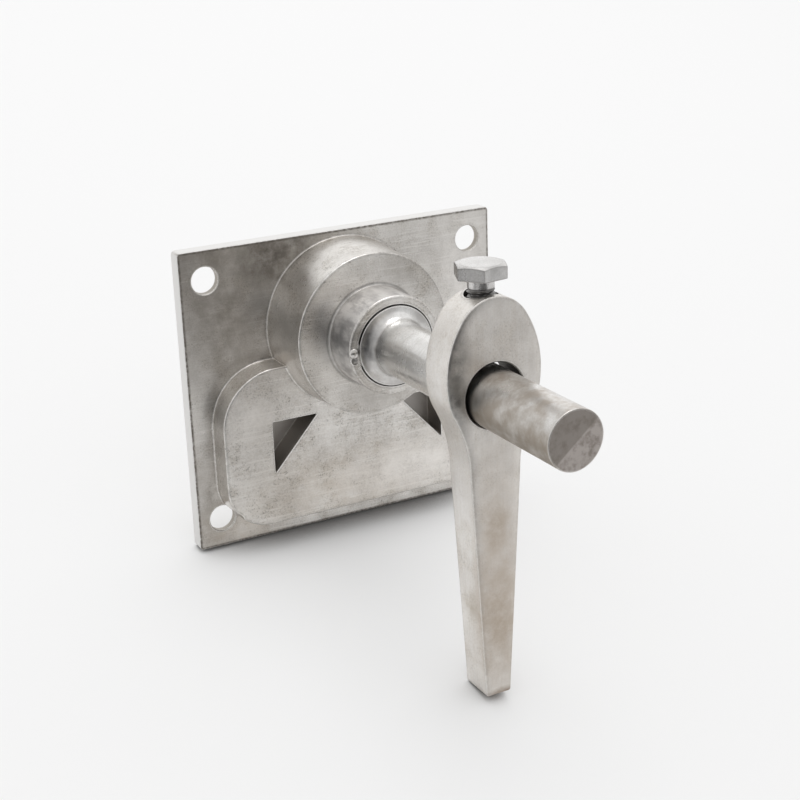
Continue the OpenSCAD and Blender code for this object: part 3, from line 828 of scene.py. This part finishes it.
# The lever: a pale stainless casting with an egg-shaped head and a tapered arm.
# Its bore is larger than the tail; its faces are dressed on a belt, which softens the front edge.
lever_low, lever_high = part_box("lever")
lever_front = lever_low.y / MM
lever_rear = lever_high.y / MM
head_t = lever_rear - lever_front
lever_tip = lever_low.z / MM - spindle_z
crown_top = lever_high.z / MM - spindle_z
head_r = 10.85
head_up = 2.5
crown_r = 8.8
crown_up = crown_top - crown_r
side_r = 22.5
arm_half = 5.9
tip_half = 3.0
tip_thin = 0.5
neck_r = 30.0
lever_edge = 0.3
tip_corner = 0.45

crown_rise = crown_up - head_up
side_rise = (crown_rise ** 2 - (side_r - crown_r) ** 2 + (side_r - head_r) ** 2) / (2 * crown_rise)
side_up = head_up + side_rise
side_in = sqrt((side_r - head_r) ** 2 - side_rise ** 2)
neck_x = arm_half + neck_r
neck_up = head_up - sqrt((head_r + neck_r) ** 2 - neck_x ** 2)


def lever_outline(inset):
    """Crown, bulging sides, lower round, hollow necks and tapered arm, as (x, z) points."""
    high = degrees(atan2(crown_up - side_up, side_in))
    low = degrees(atan2(head_up - side_up, side_in))
    meet = degrees(atan2(head_up - neck_up, neck_x))
    corner = max(tip_corner - inset, 0.05)
    half = arc((0, crown_up), crown_r - inset, 90, 180 - high, 20)
    half += arc((side_in, side_up), side_r - inset, 180 - high, 180 - low, 16)[1:]
    half += arc((0, head_up), head_r - inset, 180 - low, 180 + meet, 12)[1:]
    half += arc((-neck_x, neck_up), neck_r + inset, meet, 0, 12)[1:]
    half += arc((-tip_half + inset + corner, lever_tip + inset + corner), corner, 180, 270, 5)
    points = half + [(-x, z) for x, z in reversed(half[1:])]
    return [(x, z + spindle_z) for x, z in points]


def lever_back(z):
    """How thick the lever is at height z: the arm thins a little from the head to the tip."""
    share = (head_up - head_r - (z - spindle_z)) / (head_up - head_r - lever_tip)
    return head_t - tip_thin * max(share, 0.0)


# Rings of the rear edge and of the softened front edge, as (inset, depth).
bevels = [(lever_edge, 0.0), (lever_edge * 0.3, lever_edge * 0.3), (0.0, lever_edge)]
dressed = [(2.2, 0.0), (1.2, 0.05), (0.6, 0.11), (0.3, 0.17), (0.1, 0.24), (0.0, 0.36)]
lever_rings = [[(x, lever_front + deep, z) for x, z in lever_outline(inset)] for inset, deep in dressed]
lever_rings += [[(x, lever_front + lever_back(z) - deep, z) for x, z in lever_outline(inset)]
                for inset, deep in reversed(bevels)]
lever = loft("lever_cast", lever_rings)
bore_r = 7.0
bore_z = spindle_z + 0.6
bore_edge = 0.3
bore = turned("bore", [
    (0, lever_front - overrun), (bore_r + bore_edge, lever_front - overrun),
    (bore_r + bore_edge, lever_front - 0.01), (bore_r, lever_front + bore_edge),
    (bore_r, lever_rear - bore_edge), (bore_r + bore_edge, lever_rear + 0.01),
    (bore_r + bore_edge, lever_rear + overrun), (0, lever_rear + overrun)], (0, bore_z), 128)
combine(lever, bore, "DIFFERENCE")
bolt_y = sum(v.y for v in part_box("set_bolt")) / 2 / MM
bolt_hole_r = 3.06


def upright_rings(levels, segments=64):
    """Rings about the bolt's upright axis, from (radius, height above the spindle's axis)."""
    turns = [2 * pi * i / segments for i in range(segments)]
    return [[(r * cos(t), bolt_y + r * sin(t), spindle_z + z) for t in turns] for r, z in levels]


sink = 0.5
bolt_hole = loft("bolt_hole", upright_rings([
    (bolt_hole_r, 2), (bolt_hole_r, crown_top - 2.0), (bolt_hole_r + sink, crown_top - 1.5),
    (bolt_hole_r + sink, crown_top + overrun)]))
combine(lever, bolt_hole, "DIFFERENCE")
lever_steel = steel("lever_steel", (0.74, 0.71, 0.675, 1), (0.87, 0.845, 0.81, 1), (0.58, 0.51, 0.42, 1),
                    0.3, (0.3, 0.44), (1, 1, 0.05), 0.25, 0.9, 0.25, 0.6, (0.94, 0.925, 0.90, 1))


def bore_shade(tree, place):
    """Painted shade inside the bore."""
    return ramp(tree, from_axis(tree, place, 0, bore_z), (bore_r + 0.25) * MM, (bore_r + 0.05) * MM)


def bolt_hole_shade(tree, place):
    """Painted shade in the sunk hole round the bolt."""
    flat = add_node(tree, "ShaderNodeVectorMath", {0: place, 1: (1, 1, 0)}, operation="MULTIPLY")
    away = add_node(tree, "ShaderNodeVectorMath", {
        0: flat.outputs["Vector"], 1: (0, bolt_y * MM, 0)}, operation="DISTANCE").outputs["Value"]
    high = ramp(tree, axes(tree, place)["Z"], (spindle_z + 8) * MM, (spindle_z + 9) * MM)
    mouth_r = bolt_hole_r + sink
    return both(tree, ramp(tree, away, (mouth_r + 0.12) * MM, (mouth_r - 0.05) * MM), high)


def head_face_shade(tree, place):
    """Painted shade on the head's face along its left edge."""
    film = stain_and_light_patches([((-9.5, lever_front, spindle_z), (5, 3, 12)),
                    ((-9, lever_front, spindle_z + 9), (4, 3, 10))], 0.8)
    on_face = ramp(tree, axes(tree, place)["Y"], (lever_front + 0.4) * MM, (lever_front + 0.25) * MM)
    return both(tree, film(tree, place), on_face)


def front_face_shade(tree, place):
    """Thin even film on the lever's dressed front face: painted shade that keeps it darker than the sides."""
    cloudy = ramp(tree, speckle(tree, place, 300, 5, 0.6), 0.35, 0.65, 0.2, 0.45)
    on_face = ramp(tree, axes(tree, place)["Y"], (lever_front + 0.35) * MM, (lever_front + 0.2) * MM)
    return both(tree, on_face, cloudy)


# Painted shade over the lever's front face.
overlay(lever_steel, front_face_shade, (0.50, 0.47, 0.44, 1), 0.38)
# Painted shade along the head face's left edge.
overlay(lever_steel, head_face_shade, (0.13, 0.13, 0.127, 1), 0.36)
# Pale patches on the lever's left side, head and arm: painted highlight.
overlay(lever_steel, stain_and_light_patches([((-11, lever_front + 5, spindle_z + 2), (3, 5, 17)),
                              ((-6.5, lever_front + 5, -10), (2.5, 5, 18))], 0.8),
        (0.96, 0.945, 0.925, 1), 0.36)
overlay(lever_steel, stain_and_light_patches([((0, lever_front, -22), (9, 3, 36))], 0.75), (0.61, 0.545, 0.48, 1), 0.4)
overlay(lever_steel, stain_and_light_patches([((0, lever_front, -36), (9, 6, 20)),
                              ((-0.5, lever_front, -14), (4.5, 3, 8))], 0.75), (0.44, 0.36, 0.28, 1), 0.42)
overlay(lever_steel, stain_and_light_patches([((-4.6, -64.5, -33), (3, 4, 5))], 0.7), (0.46, 0.40, 0.32, 1), 0.45)
# Painted shade inside the bore.
overlay(lever_steel, bore_shade, (0.10, 0.095, 0.09, 1), 0.5)
overlay(lever_steel, bolt_hole_shade, (0.10, 0.095, 0.09, 1), 0.5)
overlay(lever_steel, stain_and_light_patches([((0.5, lever_front + 2, lever_tip + spindle_z - 0.2), (5, 6, 2.2))], 1.0),
        (0.24, 0.155, 0.09, 1), 0.6, over_edges=True)
finish_piece(lever, lever_steel, "lever", "lever_steel", "lever")

# The set bolt: a bright stainless M6 hex bolt screwed down through the lever's crown.
# Its end bears on the tail; the thread is rolled, the hex is chamfered on top.
bolt_low, bolt_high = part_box("set_bolt")
bolt_tip = bolt_low.z / MM - spindle_z
hex_top = bolt_high.z / MM - spindle_z
hex_flat = 5.0
hex_corner = hex_flat / cos(pi / 6)
hex_h = 3.35
hex_low = hex_top - hex_h
face_drop = 0.3
bolt_neck_len = 2.2
bolt_neck_r = 2.8
neck_low = hex_low - bolt_neck_len
hex_turn = radians(7)
hex_turns = [hex_turn + pi / 3 * i for i in range(6)]
hex_points = [(hex_corner * cos(t), hex_corner * sin(t)) for t in hex_turns]
hex_rings = [[(x * s, bolt_y + y * s, spindle_z + z) for x, y in hex_points]
             for s, z in ((0.985, hex_low), (1.0, hex_low + 0.12), (1.0, hex_top))]
bolt = loft("set_bolt_hex", hex_rings)
hex_face = hex_top - face_drop
chamfer = loft("chamfer", upright_rings([
    (hex_corner - 0.25, hex_low - 0.1), (hex_corner + 0.4, hex_low + 0.5),
    (hex_corner + 0.4, hex_face - 0.66), (hex_flat * 0.89, hex_face - 0.04),
    (hex_flat * 0.86, hex_face)], 96))
combine(bolt, chamfer, "INTERSECT")
bright_steel = steel("bright_steel", (0.57, 0.56, 0.55, 1), (0.71, 0.70, 0.69, 1), (0.44, 0.42, 0.39, 1),
                     0.15, (0.24, 0.34), (1, 1, 0.05), 0.1, 0.55, 0.1, 0.2, (0.2, 0.195, 0.19, 1))


def below_hex(tree, place):
    """1 on the thread, which is coloured dark."""
    z = axes(tree, place)["Z"]
    return ramp(tree, z, (spindle_z + neck_low + 0.2) * MM, (spindle_z + neck_low) * MM)


overlay(bright_steel, below_hex, (0.19, 0.185, 0.18, 1), 0.35)
# Darker patch on the hex's front facet: painted shade.
overlay(bright_steel, stain_and_light_patches([((0.6, bolt_y - 5, spindle_z + hex_low + 1.5), (3.4, 1.2, 3))], 0.8),
        (0.36, 0.355, 0.35, 1), 0.34)


def thread_tree(material):
    """Geometry nodes: a bar whose skin rises and falls along a right-hand helix."""
    tree = bpy.data.node_groups.new("rolled_thread", "GeometryNodeTree")
    tree.interface.new_socket("Geometry", in_out="INPUT", socket_type="NodeSocketGeometry")
    for name in ("Radius", "Depth", "Pitch", "Length"):
        tree.interface.new_socket(name, in_out="INPUT", socket_type="NodeSocketFloat")
    tree.interface.new_socket("Geometry", in_out="OUTPUT", socket_type="NodeSocketGeometry")
    given = tree.nodes.new("NodeGroupInput").outputs

    def maths(operation, first, second=0.0):
        return calc(tree, operation, first, second)

    bar = add_node(tree, "GeometryNodeMeshCylinder", {
        "Vertices": 48, "Side Segments": 160, "Radius": given["Radius"], "Depth": given["Length"]})
    place = add_node(tree, "ShaderNodeSeparateXYZ", {
        "Vector": tree.nodes.new("GeometryNodeInputPosition").outputs["Position"]})
    x, y, z = place.outputs
    turn = maths("DIVIDE", maths("ARCTAN2", y, x), 2 * pi)
    wave = maths("FRACT", maths("SUBTRACT", maths("DIVIDE", z, given["Pitch"]), turn))
    valley = maths("MULTIPLY", maths("ABSOLUTE", maths("SUBTRACT", wave, 0.5)), 2.0)
    valley = maths("MINIMUM", maths("MULTIPLY", valley, 1.2), 1.0)
    near_end = maths("SUBTRACT", maths("MULTIPLY", given["Length"], 0.5), maths("ABSOLUTE", z))
    run_out = maths("MINIMUM", maths("DIVIDE", near_end, given["Pitch"]), 1.0)
    deep = maths("MULTIPLY", maths("DIVIDE", given["Depth"], given["Radius"]), valley)
    tapered = maths("MULTIPLY", maths("SUBTRACT", 1.0, run_out), 0.12)
    size = maths("SUBTRACT", 1.0, maths("ADD", maths("MULTIPLY", deep, run_out), tapered))
    moved = add_node(tree, "ShaderNodeCombineXYZ", {
        "X": maths("MULTIPLY", x, size), "Y": maths("MULTIPLY", y, size), "Z": z})
    shaped = add_node(tree, "GeometryNodeSetPosition", {
        "Geometry": bar.outputs["Mesh"], "Position": moved.outputs["Vector"]})
    whole = add_node(tree, "GeometryNodeRealizeInstances", {"Geometry": shaped.outputs["Geometry"]})
    coated = add_node(tree, "GeometryNodeSetMaterial", {
        "Geometry": whole.outputs["Geometry"], "Material": material})
    tree.links.new(coated.outputs["Geometry"], tree.nodes.new("NodeGroupOutput").inputs["Geometry"])
    return tree


def threaded_bar(name, sizes, material, middle):
    """A plain mesh of a threaded bar about an upright axis, its middle at the given point."""
    obj = bpy.data.objects.new(name, bpy.data.meshes.new(name))
    bpy.context.collection.objects.link(obj)
    step = obj.modifiers.new("thread", "NODES")
    step.node_group = thread_tree(material)
    for item in step.node_group.interface.items_tree:
        if item.in_out == "INPUT" and item.name in sizes:
            step[item.identifier] = sizes[item.name] * MM
    seen = obj.evaluated_get(bpy.context.evaluated_depsgraph_get())
    mesh = bpy.data.meshes.new_from_object(seen)
    obj.modifiers.clear()
    obj.data = mesh
    mesh.transform(Matrix.Translation(Vector(middle) * MM))
    return obj


shank_len = neck_low + 0.3 - bolt_tip
thread_sizes = {"Radius": 3.0, "Depth": 0.55, "Pitch": 1.0, "Length": shank_len}
shank_middle = (0, bolt_y, spindle_z + bolt_tip + shank_len / 2)
shank = threaded_bar("shank", thread_sizes, bright_steel, shank_middle)
combine(bolt, shank, "UNION")
neck = loft("bolt_neck", upright_rings([
    (bolt_neck_r - 0.1, neck_low), (bolt_neck_r, neck_low + 0.1), (bolt_neck_r, hex_low - 0.25),
    (bolt_neck_r + 0.08, hex_low - 0.08), (bolt_neck_r + 0.25, hex_low + 0.3)]))
combine(bolt, neck, "UNION")
finish_piece(bolt, bright_steel, "bolt", "bolt_steel", "set_bolt", crease=28)

# Stage: the latch stands on the plate's lower deck-side edge and the lever's tip,
# so the pale floor leans by that much in the latch's own frame.
foot_y, foot_z = plate_t, -plate_h / 2
tip_y, tip_z = lever_rear - tip_thin, lever_tip + spindle_z
floor_rise = (tip_z - foot_z) / (tip_y - foot_y)
floor_half = 4000
floor_drop = 0.05
floor_rings = []
for y in (-floor_half, floor_half):
    z = foot_z + (y - foot_y) * floor_rise - floor_drop
    floor_rings.append([(-floor_half, y, z), (floor_half, y, z)])
floor = fresh("floor", floor_rings[0] + floor_rings[1], [[0, 1, 3, 2]])
if floor.data.polygons[0].normal.z < 0:
    floor.data.flip_normals()
pale = bpy.data.materials.new("pale_floor")
pale.use_nodes = True
tree = pale.node_tree
shader = tree.nodes["Principled BSDF"]
shader.inputs["Roughness"].default_value = 0.8
shader.inputs["Specular IOR Level"].default_value = 0.2
glow = add_node(tree, "ShaderNodeEmission", {"Color": (0.915, 0.915, 0.915, 1)})
seen = add_node(tree, "ShaderNodeLightPath").outputs
looked_at = calc(tree, "MAXIMUM", seen["Is Camera Ray"], seen["Is Glossy Ray"])
looked_at = calc(tree, "MAXIMUM", looked_at, seen["Is Transmission Ray"])
# Near the latch, where ambient occlusion finds it close, the floor's glow fades and its colour darkens: a
# painted contact shadow.
open_floor = add_node(tree, "ShaderNodeAmbientOcclusion", {"Distance": 0.015}, samples=8).outputs["AO"]
floor_tone_with_painted_shadow = blend_colour(tree, ramp(tree, open_floor, 0.1, 0.55), (0.2, 0.19, 0.185, 1), (0.88, 0.88, 0.88, 1))
tree.links.new(floor_tone_with_painted_shadow, shader.inputs["Base Color"])
share = calc(tree, "MULTIPLY", looked_at, ramp(tree, open_floor, 0.45, 0.95, 0, 0.38))
lifted = add_node(tree, "ShaderNodeMixShader", {"Fac": share})
tree.links.new(shader.outputs[0], lifted.inputs[1])
tree.links.new(glow.outputs[0], lifted.inputs[2])
clear = tree.nodes.new("ShaderNodeBsdfTransparent")
under = add_node(tree, "ShaderNodeNewGeometry").outputs["Backfacing"]
one_sided = tree.nodes.new("ShaderNodeMixShader")
tree.links.new(under, one_sided.inputs[0])
tree.links.new(lifted.outputs[0], one_sided.inputs[1])
tree.links.new(clear.outputs[0], one_sided.inputs[2])
tree.links.new(one_sided.outputs[0], tree.nodes["Material Output"].inputs["Surface"])
floor.data.materials.append(pale)

world = bpy.data.worlds.new("studio")
world.use_nodes = True
bpy.context.scene.world = world
tree = world.node_tree
way_out = add_node(tree, "ShaderNodeSeparateXYZ", {
    "Vector": add_node(tree, "ShaderNodeTexCoord").outputs["Generated"]})
back_light = ramp(tree, way_out.outputs["Y"], -0.9, 0.3, 0.6, 0.9)
top_light = ramp(tree, way_out.outputs["Z"], 0.1, 0.45, 0.0, 0.9)
brighter = add_node(tree, "ShaderNodeMath", operation="MAXIMUM")
tree.links.new(back_light, brighter.inputs[0])
tree.links.new(top_light, brighter.inputs[1])
tree.links.new(brighter.outputs[0], tree.nodes["Background"].inputs["Strength"])
tree.nodes["Background"].inputs["Color"].default_value = (1, 1, 1, 1)


def soft_light(name, place, aim, size, power):
    """A rectangular soft box, its place, aim and size in millimetres."""
    lamp = bpy.data.lights.new(name, "AREA")
    lamp.shape = "RECTANGLE"
    lamp.size, lamp.size_y = (s * MM for s in size)
    lamp.energy = power
    obj = bpy.data.objects.new(name, lamp)
    bpy.context.collection.objects.link(obj)
    obj.location = Vector(place) * MM
    obj.rotation_euler = (Vector(aim) - Vector(place)).to_track_quat("-Z", "Y").to_euler()
    return obj


middle = (0, -40, 0)
soft_light("top_box", (120, 60, 1000), middle, (650, 650), 2.7)
soft_light("back_box", (350, 800, 330), middle, (1300, 500), 0.6)


# Dark cards beyond the picture's front and left, which only the metal mirrors.
def floor_at(y):
    return foot_z + (y - foot_y) * floor_rise + 0.5


cards = (("front_card", 0.04, [(-600, -450, -170), (150, -450, -170), (150, -450, 80), (-600, -450, 80)]),
         ("left_card", 0.2, [(-140, -60, floor_at(-60)), (-140, -230, floor_at(-230)),
                             (-700, -230, floor_at(-230)), (-700, -60, floor_at(-60))]))
for name, shade, corners in cards:
    card = fresh(name, corners, [[0, 1, 2, 3]])
    cloth = bpy.data.materials.new(name)
    cloth.use_nodes = True
    cloth.node_tree.nodes["Principled BSDF"].inputs["Base Color"].default_value = (shade, shade, shade, 1)
    cloth.node_tree.nodes["Principled BSDF"].inputs["Roughness"].default_value = 0.9
    card.data.materials.append(cloth)
    card.visible_camera = False
    card.visible_diffuse = False
    card.visible_shadow = False

# Camera: place and lens solved from the latch's own edges in the picture.
view_turn = radians(-27.82)
view_rise = radians(19.563)
view_roll = radians(-1.959)
view_reach = 383.38
view_aim = Vector((14.414, 0, -23.685 + spindle_z))
focal_pixels = 1542.06
picture_pixels = 800
sensor = 36.0
back = Vector((sin(view_turn) * cos(view_rise), -cos(view_turn) * cos(view_rise), sin(view_rise)))
level = Vector((cos(view_turn), sin(view_turn), 0))
rise = level.cross(-back)
right = level * cos(view_roll) + rise * sin(view_roll)
up = rise * cos(view_roll) - level * sin(view_roll)
camera_data = bpy.data.cameras.new("camera")
camera_data.sensor_width = sensor
camera_data.lens = focal_pixels * sensor / picture_pixels
camera_data.clip_start = 0.01
camera_data.clip_end = 50
camera = bpy.data.objects.new("camera", camera_data)
bpy.context.collection.objects.link(camera)
turn = Matrix((right, up, back)).transposed().to_4x4()
camera.matrix_world = Matrix.Translation((view_aim + back * view_reach) * MM) @ turn
bpy.context.scene.camera = camera
bpy.context.scene.view_settings.view_transform = "Standard"
